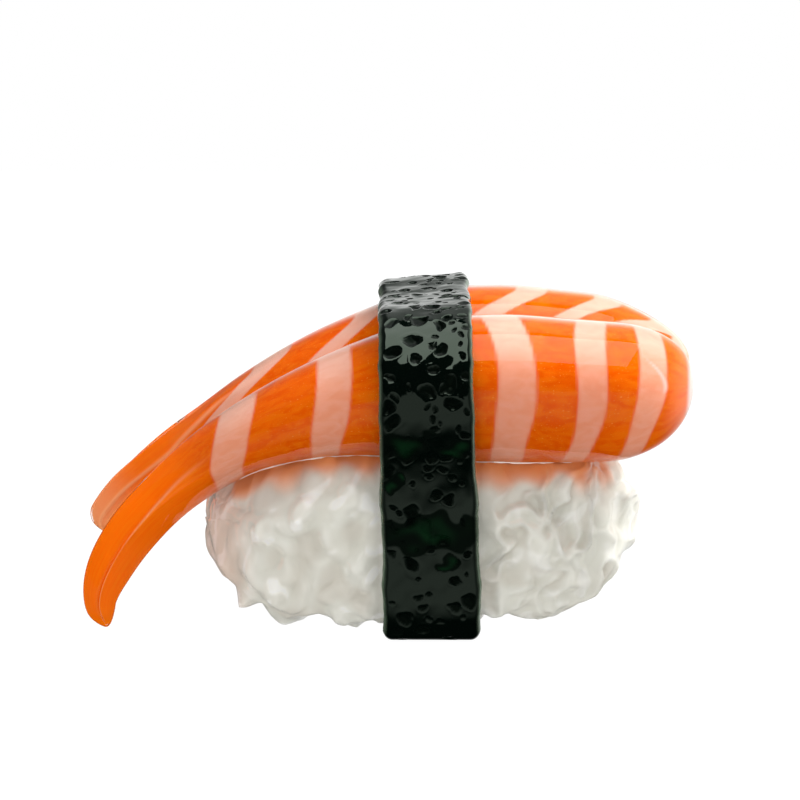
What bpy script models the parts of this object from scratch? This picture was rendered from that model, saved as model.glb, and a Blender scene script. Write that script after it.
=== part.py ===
"""One piece of shrimp nigiri, as a solid sculpture in hot-worked glass.

Two fat prawn lobes lie side by side on a lump of rice and run down into two tail fins. A band of seaweed
is wrapped once round prawn and rice, and its flat underside is what the piece stands on.
Lengths are in millimetres until a mesh is made. +X is the head end, +Z is up, and the two lobes are side
by side along Y.
"""

import bpy
import numpy as np

MM = 0.001

# --- Prawn: one row for each cross-section, from the head end to the tip of a fin ---
# x, distance from the middle plane, height of the centre, half width, half height.
LOBE_BODY = [
    (74.2, 13.4, 61.5, 17.2, 15.5),
    (61.0, 15.4, 60.6, 18.6, 16.4),
    (45.0, 17.0, 61.1, 19.6, 17.2),
    (28.0, 17.8, 61.9, 20.2, 17.7),
    (10.0, 17.4, 61.4, 19.8, 16.8),
    (-6.0, 16.8, 59.0, 18.6, 13.5),
    (-20.0, 16.2, 55.2, 16.8, 10.7),
    (-34.0, 15.4, 49.2, 14.2, 8.4),
    (-45.0, 15.0, 42.0, 11.4, 7.7),
]
NEAR_FIN = [
    (-54.8, 17.8, 34.3, 7.6, 6.8),
    (-62.8, 22.0, 26.2, 4.8, 6.4),
    (-67.9, 26.0, 18.4, 3.5, 5.6),
    (-69.9, 28.6, 11.4, 2.7, 4.1),
    (-68.3, 29.8, 4.9, 2.0, 2.7),
]
FAR_FIN = [
    (-53.6, 16.4, 36.4, 8.0, 6.8),
    (-61.6, 17.6, 29.8, 5.2, 6.6),
    (-68.1, 18.8, 23.9, 3.8, 6.3),
    (-73.2, 19.8, 17.6, 3.2, 5.7),
    (-74.9, 20.4, 13.4, 2.6, 4.9),
]
# Length over which an end rounds off, and the power of its curve: 2 is an ellipse, less is more pointed.
NEAR_HEAD = (20.5, 2.0)
FAR_HEAD = (27.0, 1.65)
FIN_TIP = (3.4, 2.0)
FAR_REACH = 2.6  # how much further the far lobe reaches at the head end
LOBE_ROUNDNESS = 2.15  # power of the superellipse that is a lobe's section: 2 is an ellipse
FIN_ROUNDNESS = 1.5  # a fin's section is nearer a lozenge, whose corners are its edges and its ridge
LOBE_SIDES = 30
LOBE_RINGS = 44
RING_CROWDING = 0.45  # share of the rings' spacing that follows a cosine, which is close at both ends
FIRST_RING, LAST_RING = 0.002, 0.9985  # just short of both ends, where a ring would have no size
WALK_STEPS = 800  # places at which a spine's length is summed

# --- Rice: a blunt lump with the bumps of pressed grains ---
RICE_MIDDLE = (7.6, 0.0, 25.0)
RICE_HALF = (52.3, 31.4, 23.6)
RICE_TILT = 0.022  # rise for each millimetre towards the head end
RICE_ROUNDNESS = 2.6  # along the lump
RICE_SECTION_ROUNDNESS = 3.8  # across it
RICE_CELL = 3.3
CELL_EVENNESS = 0.35
# Grains, at the tail end and at the head end, where they were pulled out longer: half length and radius.
TAIL_GRAIN = (1.4, 4.7)
HEAD_GRAIN = (5.4, 3.5)
GRAIN_HEIGHT = 2.3
GRAINS = 205
GOLDEN_TURN = 2.39996  # radians: even spacing along a spiral
GRAIN_SEED = 7
UNDER_RELIEF = (1.3, 0.15)  # the relief's share falls from 1 towards the underside, as this plus the normal's Z
BAND_CLEAR = 3.0  # length over which the relief rises from nothing beside the band

# --- Seaweed band ---
BAND_EDGES = (-2.4, 20.2)  # x of its two edges at the front
BAND_FOOT_SHIFT = 1.7  # how much further towards the head end it lies under the rice
BAND_FOOT_FLARE = 0.9  # how much further apart its edges are there
BAND_WALL = 3.8
BAND_RISE = 2.2  # how much higher its crest is at the head-end edge
BAND_MIDDLE_Z = 40.0  # rays that find its inner and outer face start here, on the middle plane
BAND_EDGE = 2.1  # radius of its rounded edges
INNER_INSET = 0.4  # how far inside its edges the inner face starts, in those radii
BAND_FOOT = (36.2, 25.0, 7.0)  # half width, half height and roundness of the foot it pools into
BAND_STEPS = 96
RAYS_PER_STEP = 4
OUTLINE_STEPS = 160  # points of each outline that the rays meet
SECTION_RINGS = (160, 72)  # rings and sides of the lobe that is cut across for its outline
SECTION_END = -30.0  # x past which the lobe bends down too far to be cut across
BAND_SAG = 0.75  # how far its outer face follows the hollow between prawn and rice, 1 being all the way

GAP = 0.35  # clearance between pieces that touch


def clear_scene():
    for old in list(bpy.data.objects):
        bpy.data.objects.remove(old)


def glass(name, colour, roughness):
    """A Principled material in one sRGB colour."""
    linear = [((c + 0.055) / 1.055) ** 2.4 if c > 0.04045 else c / 12.92 for c in colour]
    material = bpy.data.materials.new(name)
    material.use_nodes = True
    shader = material.node_tree.nodes["Principled BSDF"]
    shader.inputs["Base Color"].default_value = (*linear, 1.0)
    shader.inputs["Roughness"].default_value = roughness
    shader.inputs["Metallic"].default_value = 0.0
    return material


def add_object(name, points, faces, material):
    """A mesh object from points in millimetres."""
    mesh = bpy.data.meshes.new(name)
    mesh.from_pydata((points * MM).tolist(), [], faces)
    mesh.update()
    mesh.shade_smooth()
    if material:
        mesh.materials.append(material)
    piece = bpy.data.objects.new(name, mesh)
    bpy.context.scene.collection.objects.link(piece)
    return piece


def boolean(piece, other, operation):
    """Joins another object to this one, or cuts it from this one, and removes the other."""
    step = piece.modifiers.new(operation, "BOOLEAN")
    step.operation = operation
    step.object = other
    step.solver = "EXACT"
    graph = bpy.context.evaluated_depsgraph_get()
    made = bpy.data.meshes.new_from_object(piece.evaluated_get(graph))
    piece.modifiers.remove(step)
    piece.data = made
    bpy.data.objects.remove(other)


def through(stations, places):
    """A smooth curve through rows of numbers, read at places counted in rows, and its slope there.

    Each stretch is a cubic whose slope at a row is half the step between that row's two neighbours.
    """
    rows = np.array(stations, float)
    slopes = np.gradient(rows, axis=0)
    first = np.clip(np.floor(places).astype(int), 0, len(rows) - 2)
    t = (places - first)[:, None]
    a, b, ma, mb = rows[first], rows[first + 1], slopes[first], slopes[first + 1]
    value = (2 * t**3 - 3 * t**2 + 1) * a + (t**3 - 2 * t**2 + t) * ma
    value += (3 * t**2 - 2 * t**3) * b + (t**3 - t**2) * mb
    slope = (6 * t**2 - 6 * t) * (a - b) + (3 * t**2 - 4 * t + 1) * ma + (3 * t**2 - 2 * t) * mb
    return value, slope


def superellipse(angle, power):
    """Points of a superellipse of half width and half height 1: 2 is a circle, more is boxier."""
    return (
        np.sign(np.cos(angle)) * np.abs(np.cos(angle)) ** (2 / power),
        np.sign(np.sin(angle)) * np.abs(np.sin(angle)) ** (2 / power),
    )


def dome(distance, length, power):
    """Share of its full size that a body has at this distance from its rounded end."""
    return (1 - np.clip(1 - distance / length, 0, 1) ** power) ** (1 / power)


def lobe_rings(fin, side, rings, sides, grow=0.0):
    """Rings of points along one lobe and its fin, head end first: an array of rings x sides x 3.

    A ring is a superellipse square to the lobe's spine. Its size is that of the stations, times a dome
    at either end, and grow is added all round.
    """
    stations = np.array(LOBE_BODY + fin)
    stations[0, 0] += FAR_REACH * (side > 0)
    fine = np.linspace(0, len(stations) - 1, WALK_STEPS)
    walk = through(stations, fine)[0][:, :3]
    travelled = np.concatenate([[0], np.cumsum(np.linalg.norm(np.diff(walk, axis=0), axis=1))])
    length = travelled[-1]
    # Rings crowd towards both ends, where the domes turn quickly.
    even = np.linspace(0.0, 1.0, rings)
    spread = even + RING_CROWDING * ((1 - np.cos(np.pi * even)) / 2 - even)
    distance = np.clip(spread, FIRST_RING, LAST_RING) * length
    places = np.interp(distance, travelled, fine)
    value, slope = through(stations, places)
    centre = value[:, :3] * (1, side, 1)
    ahead = slope[:, :3] * (1, side, 1)
    ahead /= np.linalg.norm(ahead, axis=1, keepdims=True)
    across = np.array([0.0, 1.0, 0.0]) - ahead * ahead[:, 1:2]
    across /= np.linalg.norm(across, axis=1, keepdims=True)
    up = np.cross(across, ahead)
    head = dome(distance, *(FAR_HEAD if side > 0 else NEAR_HEAD))
    tip = dome(length - distance, *FIN_TIP)
    size = value[:, 3:] * (head * tip)[:, None] + grow
    to_fin = np.clip((places - len(LOBE_BODY) + 2) / 2, 0, 1)
    power = (LOBE_ROUNDNESS + (FIN_ROUNDNESS - LOBE_ROUNDNESS) * to_fin)[:, None]
    u, v = superellipse(np.linspace(0, 2 * np.pi, sides, endpoint=False), power)
    return (
        centre[:, None]
        + across[:, None] * (u * size[:, :1])[..., None]
        + up[:, None] * (v * size[:, 1:])[..., None]
    )


def tube(rings):
    """Points and faces of a closed skin over rings, with a point at the middle of each end."""
    count, sides = rings.shape[:2]
    points = np.concatenate([rings.reshape(-1, 3), rings[0].mean(0)[None], rings[-1].mean(0)[None]])
    first, last = count * sides, count * sides + 1
    faces = []
    for i in range(count - 1):
        for j in range(sides):
            k = (j + 1) % sides
            faces.append((i * sides + j, i * sides + k, (i + 1) * sides + k, (i + 1) * sides + j))
    end = (count - 1) * sides
    for j in range(sides):
        k = (j + 1) % sides
        faces.append((first, k, j))
        faces.append((last, end + j, end + k))
    return points, faces


def make_prawn(name, material, grow=0.0):
    """Two lobes, near and far, joined along the middle."""
    near = tube(lobe_rings(NEAR_FIN, -1, LOBE_RINGS, LOBE_SIDES, grow))
    far = tube(lobe_rings(FAR_FIN, 1, LOBE_RINGS, LOBE_SIDES, grow))
    near = add_object(name, *near, material)
    boolean(near, add_object(name + "_far", *far, material), "UNION")
    return near


def box_grid(half, cell):
    """Points on the faces of a box, welded at its edges, and its four-sided faces, pointing out."""
    counts = [max(2, int(round(2 * h / cell))) for h in half]
    lines = [np.linspace(-1, 1, n + 1) for n in counts]
    corners, faces = {}, []
    for axis in range(3):
        b, c = (axis + 1) % 3, (axis + 2) % 3
        for end in (-1, 1):
            for i in range(counts[b]):
                for j in range(counts[c]):
                    face = []
                    for bi, cj in ((i, j), (i + 1, j), (i + 1, j + 1), (i, j + 1)):
                        key = [0, 0, 0]
                        key[axis] = counts[axis] if end > 0 else 0
                        key[b], key[c] = bi, cj
                        face.append(corners.setdefault(tuple(key), len(corners)))
                    faces.append(tuple(face if end > 0 else face[::-1]))
    points = np.array([[lines[a][key[a]] for a in range(3)] for key in corners])
    return points, faces


def on_rice(aim):
    """Where rays from the lump's middle meet its plain surface, and the outward directions there.

    The surface is where the power sum of x, over its half length, and of the section is 1, the section
    being the power sum of y and z over theirs.
    """
    scaled = np.abs(aim) / RICE_HALF
    p, q = RICE_ROUNDNESS, RICE_SECTION_ROUNDNESS
    section = (scaled[:, 1] ** q + scaled[:, 2] ** q) ** (1 / q)
    out = (scaled[:, 0] ** p + section**p) ** (1 / p)
    slope = scaled ** [p - 1, q - 1, q - 1]
    slope[:, 1:] *= (section ** (p - q))[:, None]
    normal = np.sign(aim) * slope / RICE_HALF
    return aim / out[:, None], normal / np.linalg.norm(normal, axis=1, keepdims=True)


def grain_places():
    """Middle, bar direction, half length and radius of each grain.

    The grains follow a spiral from end to end of the lump, a golden turn apart, so that they are evenly
    spread, and each has a seeded turn of its own.
    """
    order = np.arange(GRAINS)
    along = 1 - (2 * order + 1) / GRAINS
    around = np.sqrt(1 - along**2)
    turn = GOLDEN_TURN * order
    ball = np.stack([along, around * np.cos(turn), around * np.sin(turn)], 1)
    middle, normal = on_rice(ball * RICE_HALF)
    helper = np.cross(normal, (0.3, 0.2, 0.93))
    helper /= np.linalg.norm(helper, axis=1, keepdims=True)
    twist = np.random.default_rng(GRAIN_SEED).uniform(0, np.pi, (GRAINS, 1))
    bar = np.cos(twist) * helper + np.sin(twist) * np.cross(normal, helper)
    to_head = np.clip(0.5 + middle[:, :1] / RICE_HALF[0], 0, 1)
    half_length, radius = (TAIL_GRAIN + (np.array(HEAD_GRAIN) - TAIL_GRAIN) * to_head).T
    return middle, bar, half_length, radius


def grain_relief(points):
    """Height of the pressed grains over each point: the highest of many short rounded bars."""
    height = np.zeros(len(points))
    for middle, bar, half_length, radius in zip(*grain_places()):
        offset = points - middle
        along = np.clip(offset @ bar, -half_length, half_length)
        away = np.linalg.norm(offset - along[:, None] * bar, axis=1) / radius
        height = np.maximum(height, GRAIN_HEIGHT * np.clip(1 - away**2, 0, 1))
    return height


def make_rice(material):
    grid, faces = box_grid(RICE_HALF, RICE_CELL)
    # Points of the box are drawn together towards its edges, so that no cell is much longer than another.
    others = np.roll(grid, 1, 1) ** 2 + np.roll(grid, 2, 1) ** 2
    base, normal = on_rice(grid * np.sqrt(1 - CELL_EVENNESS * others) * RICE_HALF)
    relief = grain_relief(base)
    # The band presses the grains flat, and so does the bench that the lump was shaped on.
    x = base[:, 0] + RICE_MIDDLE[0]
    outside = np.maximum(BAND_EDGES[0] - x, x - BAND_EDGES[1] - BAND_FOOT_SHIFT)
    relief *= np.clip(outside / BAND_CLEAR, 0, 1)
    from_one, least = UNDER_RELIEF
    relief *= np.clip(from_one + normal[:, 2], least, 1)
    points = base + normal * relief[:, None]
    points[:, 2] += RICE_TILT * points[:, 0]
    return add_object("rice", points + RICE_MIDDLE, faces, material)


def ray_to_section(section, angles):
    """Furthest distance from the band's middle line to a closed outline in Y and Z, along each angle."""
    start, end = section, np.roll(section, -1, 0)
    ray = np.stack([np.cos(angles), np.sin(angles)], 1)[:, None]
    edge = (end - start)[None]
    cross = ray[..., 0] * edge[..., 1] - ray[..., 1] * edge[..., 0]
    cross = np.where(np.abs(cross) < 1e-9, 1e-9, cross)
    reach = (start[None, :, 0] * edge[..., 1] - start[None, :, 1] * edge[..., 0]) / cross
    part = (start[None, :, 0] * ray[..., 1] - start[None, :, 1] * ray[..., 0]) / cross
    return np.where((part >= 0) & (part <= 1) & (reach > 0), reach, 0).max(1)


def round_section(half_width, half_height, power, middle_z):
    """Outline in Y and Z of a superellipse on the middle plane, seen from where the band's rays start."""
    y, z = superellipse(np.linspace(0, 2 * np.pi, OUTLINE_STEPS, endpoint=False), power)
    return np.stack([y * half_width, z * half_height + middle_z - BAND_MIDDLE_Z], 1)


def contents_reach(x):
    """How far prawn and rice reach from the band's middle line at one place along X, at each band step.

    It is read at several angles for each step, and a step takes the furthest of those around it, so that
    a flat facet between two steps stays clear too.
    """
    angles = np.linspace(0, 2 * np.pi, BAND_STEPS * RAYS_PER_STEP, endpoint=False)
    reach = np.zeros(len(angles))
    for fin, side in ((NEAR_FIN, -1), (FAR_FIN, 1)):
        rings = lobe_rings(fin, side, *SECTION_RINGS)
        rings = rings[rings[:, :, 0].max(1) > SECTION_END]
        section = np.array([
            [np.interp(-x, -line[:, 0], line[:, axis]) for axis in (1, 2)] for line in rings.swapaxes(0, 1)
        ])
        section[:, 1] -= BAND_MIDDLE_Z
        reach = np.maximum(reach, ray_to_section(section, angles))
    shrink = (1 - abs((x - RICE_MIDDLE[0]) / RICE_HALF[0]) ** RICE_ROUNDNESS) ** (1 / RICE_ROUNDNESS)
    middle_z = RICE_MIDDLE[2] + RICE_TILT * (x - RICE_MIDDLE[0])
    rice = round_section(RICE_HALF[1] * shrink, RICE_HALF[2] * shrink, RICE_SECTION_ROUNDNESS, middle_z)
    reach = np.maximum(reach, ray_to_section(rice, angles))
    around = range(-RAYS_PER_STEP + 1, RAYS_PER_STEP)
    return np.max([np.roll(reach, turn) for turn in around], axis=0)[::RAYS_PER_STEP]


def smoothed(values, width):
    """A ring of values averaged with a bell of this width in steps."""
    steps = np.arange(-3 * width, 3 * width + 1)
    bell = np.exp(-0.5 * (steps / width) ** 2)
    bell /= bell.sum()
    return sum(w * np.roll(values, s) for w, s in zip(bell, steps))


def make_band(material):
    """A closed ring: at each of its stations along X an inner outline that clears prawn and rice, and an
    outer one a wall further out, drawn in at the rounded edges."""
    angles = np.linspace(0, 2 * np.pi, BAND_STEPS, endpoint=False)
    middle = contents_reach(sum(BAND_EDGES) / 2)
    bridged = smoothed(middle, 4)
    outer = BAND_SAG * np.maximum(middle, bridged) + (1 - BAND_SAG) * bridged + BAND_WALL
    foot_width, foot_height, foot_power = BAND_FOOT
    foot = round_section(foot_width, foot_height, foot_power, foot_height)
    outer = smoothed(np.maximum(outer, ray_to_section(foot, angles)), 1)
    upward = np.sin(angles)
    # 0 over the prawn and 1 under the rice.
    low = np.clip(0.5 - 0.8 * upward, 0, 1)
    width = BAND_EDGES[1] - BAND_EDGES[0]
    # Across the band: along the inner face, round one edge, back over the outer face, round the other.
    loops = []
    inset = INNER_INSET * BAND_EDGE / width
    for t in np.linspace(inset, 1 - inset, 7):
        x = BAND_EDGES[0] + t * width
        moved = x + BAND_FOOT_SHIFT + BAND_FOOT_FLARE * (t - 0.5)
        loops.append((t, np.maximum(contents_reach(x), contents_reach(moved)) + GAP))
    edge = [(BAND_EDGE / width * (1 - np.cos(a)), 1 - np.sin(a)) for a in np.radians([75, 45, 15])]
    over = [(1 - t, drawn_in) for t, drawn_in in edge[::-1]]
    over += [(t, 0.0) for t in np.linspace(0.85, 0.15, 6)]
    over += edge
    for t, drawn_in in over:
        rise = BAND_RISE * (t - 0.5) * np.clip(upward, 0, 1)
        loops.append((t, outer + rise - BAND_EDGE * drawn_in))
    rings = []
    for t, reach in loops:
        x = BAND_EDGES[0] + t * width + low * (BAND_FOOT_SHIFT + BAND_FOOT_FLARE * (t - 0.5))
        rings.append(np.stack([x, reach * np.cos(angles), BAND_MIDDLE_Z + reach * upward], 1))
    rings = np.array(rings)
    # The underside is flat, and is the only part of the band on the table.
    rings[..., 2] = np.maximum(rings[..., 2], 0)
    count, sides = rings.shape[:2]
    faces = []
    for i in range(count):
        for j in range(sides):
            k, n = (j + 1) % sides, (i + 1) % count
            faces.append((i * sides + j, n * sides + j, n * sides + k, i * sides + k))
    return add_object("nori_band", rings.reshape(-1, 3), faces, material)


def stand_on_origin(pieces):
    """Puts the middle of the underside of everything's bounding box on the origin."""
    points = np.concatenate([np.array([v.co for v in piece.data.vertices]) for piece in pieces])
    low, high = points.min(0), points.max(0)
    shift = (-(low[0] + high[0]) / 2, -(low[1] + high[1]) / 2, -low[2])
    for piece in pieces:
        piece.location = shift


def main():
    clear_scene()
    prawn_glass = glass("prawn_glass", (0.87, 0.42, 0.10), 0.05)
    rice_glass = glass("rice_glass", (0.85, 0.83, 0.79), 0.08)
    band_glass = glass("band_glass", (0.05, 0.10, 0.07), 0.08)
    prawn = make_prawn("shrimp", prawn_glass)
    rice = make_rice(rice_glass)
    boolean(rice, make_prawn("room", None, GAP), "DIFFERENCE")
    band = make_band(band_glass)
    stand_on_origin([prawn, rice, band])


main()
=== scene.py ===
"""One piece of shrimp nigiri, as a solid sculpture in hot-worked glass, dressed and lit.

Lengths are in millimetres until a mesh is made. Every surface is drawn with X measured from the same zero
as the solids' stations, and is then moved along X to where the frame says the prawn lies.
"""

import bpy
import numpy as np
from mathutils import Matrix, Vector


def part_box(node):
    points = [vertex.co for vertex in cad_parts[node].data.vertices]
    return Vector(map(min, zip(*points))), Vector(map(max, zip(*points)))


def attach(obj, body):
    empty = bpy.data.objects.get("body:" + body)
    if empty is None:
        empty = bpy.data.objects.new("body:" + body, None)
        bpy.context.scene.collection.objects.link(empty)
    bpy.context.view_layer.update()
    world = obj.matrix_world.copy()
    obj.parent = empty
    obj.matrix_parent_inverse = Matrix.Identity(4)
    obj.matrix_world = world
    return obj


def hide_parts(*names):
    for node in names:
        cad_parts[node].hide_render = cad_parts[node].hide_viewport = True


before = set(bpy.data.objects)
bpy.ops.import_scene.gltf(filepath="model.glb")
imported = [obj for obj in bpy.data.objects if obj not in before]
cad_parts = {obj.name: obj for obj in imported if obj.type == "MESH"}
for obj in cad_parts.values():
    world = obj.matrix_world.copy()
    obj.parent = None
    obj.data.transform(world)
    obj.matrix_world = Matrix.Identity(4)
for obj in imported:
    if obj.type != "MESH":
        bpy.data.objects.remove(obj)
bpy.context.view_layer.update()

# ---------------------------------------------------------------------------------------------
# Prawn, the colour: two lobes of opaque orange glass, drawn out into tail fins, with rings of pale
# pink trailed over them. They were rolled into clear glass while hot, so the colour itself is matt.
# ---------------------------------------------------------------------------------------------

MM = 0.001

# x, distance from the middle plane, height of the centre, half width and half height of each section,
# from the head end to the tip of a fin.
LOBE_BODY = [
    (74.2, 13.4, 61.5, 17.2, 15.5),
    (61.0, 15.4, 60.6, 18.6, 16.4),
    (45.0, 17.0, 61.1, 19.6, 17.2),
    (28.0, 17.8, 61.9, 20.2, 17.7),
    (10.0, 17.4, 61.4, 19.8, 16.8),
    (-6.0, 16.8, 59.0, 18.6, 13.5),
    (-20.0, 16.2, 55.2, 16.8, 10.7),
    (-34.0, 15.4, 49.2, 14.2, 8.4),
    (-45.0, 15.0, 42.0, 11.4, 7.7),
]
NEAR_FIN = [
    (-54.8, 17.8, 34.3, 7.6, 6.8),
    (-62.8, 22.0, 26.2, 4.8, 6.4),
    (-67.9, 26.0, 18.4, 3.5, 5.6),
    (-69.9, 28.6, 11.4, 2.7, 4.1),
    (-68.3, 29.8, 4.9, 2.0, 2.7),
]
FAR_FIN = [
    (-53.6, 16.4, 36.4, 8.0, 6.8),
    (-61.6, 17.6, 29.8, 5.2, 6.6),
    (-68.1, 18.8, 23.9, 3.8, 6.3),
    (-73.2, 19.8, 17.6, 3.2, 5.7),
    (-74.9, 20.4, 13.4, 2.6, 4.9),
]
NEAR_HEAD = (20.5, 1.8)  # length over which an end rounds off, and the power of its curve
FAR_HEAD = (27.0, 1.8)
NEAR_CROWN = 2.7  # the near end's power along its crest, where it is squarer
FIN_TIP = (4.6, 1.7)  # the same for the tip of a fin
FAR_REACH = 2.6  # how much further the far lobe's head end reaches
# Creases that run lengthwise into the fins, where one leaf of glass lies over the next: degrees round from
# the crest at the start and at the tip, the depth, and the x where each has come to its full depth.
NEAR_CREASES = [(64, 92, 1.15, -60.0)]
FAR_CREASES = [(-28, -62, 0.8, -46.0), (-4, 18, 0.6, -56.0)]
CREASE_WIDTH = 46.0  # degrees over which the surface comes back up
CREASE_DROP = (-6.0, 9.0)  # degrees short of its middle between which the surface drops
CREASE_RUN = 22.0  # x over which it comes to its full depth
LIP_HEIGHT = 0.3  # of the lip along the edge of the upper leaf
LIP_WIDTH = 9.0  # degrees
LOBE_ROUNDNESS = 2.15  # the power of a section: 2 is an ellipse
FIN_ROUNDNESS = 1.2  # sharper than the solid's, for the crease along the fin
WALK_STEPS = 1600  # steps in which the length of the spine is measured


def linear(code):
    """An sRGB hex colour as linear red, green, blue and 1."""
    channels = [int(code[i : i + 2], 16) / 255 for i in (1, 3, 5)]
    return (*[((c + 0.055) / 1.055) ** 2.4 if c > 0.04045 else c / 12.92 for c in channels], 1.0)


def add_node(tree, kind, inputs=None, **settings):
    """Adds a shader node: settings are its attributes, and inputs are values or outputs, by socket."""
    node = tree.nodes.new("ShaderNode" + kind)
    for name, value in settings.items():
        setattr(node, name, value)
    for name, value in (inputs or {}).items():
        if isinstance(value, bpy.types.NodeSocket):
            tree.links.new(value, node.inputs[name])
        else:
            node.inputs[name].default_value = value
    return node


def new_material(name, **sockets):
    """A material with values on its Principled shader's sockets: returns it, its tree and the shader."""
    material = bpy.data.materials.new(name)
    material.use_nodes = True
    shader = material.node_tree.nodes["Principled BSDF"]
    for socket, value in sockets.items():
        shader.inputs[socket.replace("_", " ")].default_value = value
    return material, material.node_tree, shader


def add_piece(name, points, faces, material, **attributes):
    """A smooth-shaded object from points in millimetres, with a number or a vector kept for each point."""
    mesh = bpy.data.meshes.new(name)
    mesh.from_pydata((points * MM).tolist(), [], faces)
    for label, values in attributes.items():
        vector = values.ndim > 1
        layer = mesh.attributes.new(label, "FLOAT_VECTOR" if vector else "FLOAT", "POINT")
        layer.data.foreach_set("vector" if vector else "value", values.astype(np.float32).ravel())
    mesh.update()
    mesh.shade_smooth()
    mesh.materials.append(material)
    piece = bpy.data.objects.new(name, mesh)
    bpy.context.scene.collection.objects.link(piece)
    return piece


def ease(value, low, high):
    """0 below low, 1 above high, and a smooth cubic step between them."""
    t = np.clip((value - low) / (high - low), 0, 1)
    return t * t * (3 - 2 * t)


def through(stations, places):
    """A smooth curve through rows of numbers, read at places counted in rows, and its slope there.

    Each stretch is a cubic whose slope at a row is half the step between that row's two neighbours.
    """
    rows = np.array(stations, float)
    slopes = np.gradient(rows, axis=0)
    first = np.clip(np.floor(places).astype(int), 0, len(rows) - 2)
    t = (places - first)[:, None]
    a, b, ma, mb = rows[first], rows[first + 1], slopes[first], slopes[first + 1]
    value = (2 * t**3 - 3 * t**2 + 1) * a + (t**3 - 2 * t**2 + t) * ma
    value += (3 * t**2 - 2 * t**3) * b + (t**3 - t**2) * mb
    slope = (6 * t**2 - 6 * t) * (a - b) + (3 * t**2 - 4 * t + 1) * ma + (3 * t**2 - 2 * t) * mb
    return value, slope


def superellipse(angle, power):
    """Points of a superellipse of half width and half height 1: 2 is a circle, more is boxier."""
    return (
        np.sign(np.cos(angle)) * np.abs(np.cos(angle)) ** (2 / power),
        np.sign(np.sin(angle)) * np.abs(np.sin(angle)) ** (2 / power),
    )


def dome(distance, length, power):
    """Share of its full size that a body has at this distance from its rounded end."""
    return (1 - np.clip(1 - distance / length, 0, 1) ** power) ** (1 / power)


def round_from_crest(side, turn):
    """Degrees round a lobe: 0 at the crest, 90 on its outer flank, 180 below and negative in the groove."""
    outward = np.degrees(turn) - 90 if side < 0 else 90 - np.degrees(turn)
    return (outward + 90) % 360 - 90


def creased(outward, x, creases):
    """How far the surface lies below its plain form, in mm, at each angle round from the crest in degrees.

    A crease drops steeply on the side of the crest and comes back as a square over its width. The leaf that
    lies over it has a low lip along its edge, and how near each point is to that edge comes back as well.
    """
    depth = np.zeros(np.broadcast(outward, x).shape)
    edge = np.zeros(depth.shape)
    for start, end, deepest, full_at in creases:
        share = ease(-x, -full_at - CREASE_RUN, -full_at)
        middle = start + (end - start) * ease(-x, -full_at - 10, -full_at + 12)
        short = middle - outward
        bank = np.clip(1 - short / CREASE_WIDTH, 0, 1) ** 2 * ease(short, *CREASE_DROP)
        lip = np.exp(-(((short - CREASE_DROP[0]) / LIP_WIDTH) ** 2))
        depth += share * (deepest * bank - LIP_HEIGHT * lip)
        edge = np.maximum(edge, share * np.exp(-(((short + 3.0) / 3.5) ** 2)))
    return depth, edge


def lobe(side, fin, rings, sides, clear=0.0, fin_share=1.0, head_clear=0.0, tip_clear=0.0, creases=()):
    """Points of a lobe and its fin, rings x sides x 3 from the head end, and three measures of them.

    A ring is a superellipse square to the spine through the stations. Its half width and half height are
    the stations', less the clear glass over the colour, times a dome at either end. On the fin the colour
    is a share of the whole instead, and head_clear and tip_clear are how far short of the ends it stops.
    The measures are each ring's distance along the lobe and share of fin, and how near each point is to
    the edge of a leaf.
    """
    stations = np.array(LOBE_BODY + fin)
    stations[0, 0] += FAR_REACH * (side > 0)
    fine = np.linspace(0, len(stations) - 1, WALK_STEPS)
    walk = through(stations, fine)[0][:, :3]
    travelled = np.concatenate([[0], np.cumsum(np.linalg.norm(np.diff(walk, axis=0), axis=1))])
    head_length, head_power = FAR_HEAD if side > 0 else NEAR_HEAD
    start, end = head_clear, travelled[-1] - tip_clear
    # Rings are even along the body, and even in the angle of a quarter circle over each dome.
    turn = np.linspace(0, np.pi / 2, rings // 6)
    distance = np.concatenate([
        start + head_length * (1 - np.cos(turn)),
        np.linspace(start + head_length, end - FIN_TIP[0], rings - 2 * len(turn) + 2)[1:-1],
        end - FIN_TIP[0] * (1 - np.cos(turn[::-1])),
    ])
    places = np.interp(distance, travelled, fine)
    value, slope = through(stations, places)
    centre = value[:, :3] * (1, side, 1)
    ahead = slope[:, :3] * (1, side, 1)
    ahead /= np.linalg.norm(ahead, axis=1, keepdims=True)
    across = np.array([0.0, 1.0, 0.0]) - ahead * ahead[:, 1:2]
    across /= np.linalg.norm(across, axis=1, keepdims=True)
    up = np.cross(across, ahead)
    to_fin = np.clip((places - len(LOBE_BODY) + 2) / 2, 0, 1)[:, None]
    size = (value[:, 3:] - clear) * (1 - to_fin) + value[:, 3:] * fin_share * to_fin
    rounded = dome(distance - start, head_length, head_power)
    crowned = dome(distance - start, head_length, NEAR_CROWN if side < 0 else head_power)
    size *= dome(end - distance, *FIN_TIP)[:, None]
    power = LOBE_ROUNDNESS + (FIN_ROUNDNESS - LOBE_ROUNDNESS) * to_fin
    turn = np.linspace(0, 2 * np.pi, sides, endpoint=False)
    u, v = superellipse(turn, power)
    drop, edge = creased(round_from_crest(side, turn), centre[:, :1], creases)
    rounding = rounded[:, None] + (crowned - rounded)[:, None] * np.clip(v, 0, 1) ** 2
    size = size[:, None] * rounding[..., None]
    # A crease fades where the lobe is under 3 mm thick either way.
    size = size - drop[..., None] * np.clip(size / 3, 0, 1)
    points = (
        centre[:, None]
        + across[:, None] * (u * size[..., 0])[..., None]
        + up[:, None] * (v * size[..., 1])[..., None]
    )
    return points, distance, to_fin[:, 0], edge


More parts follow.
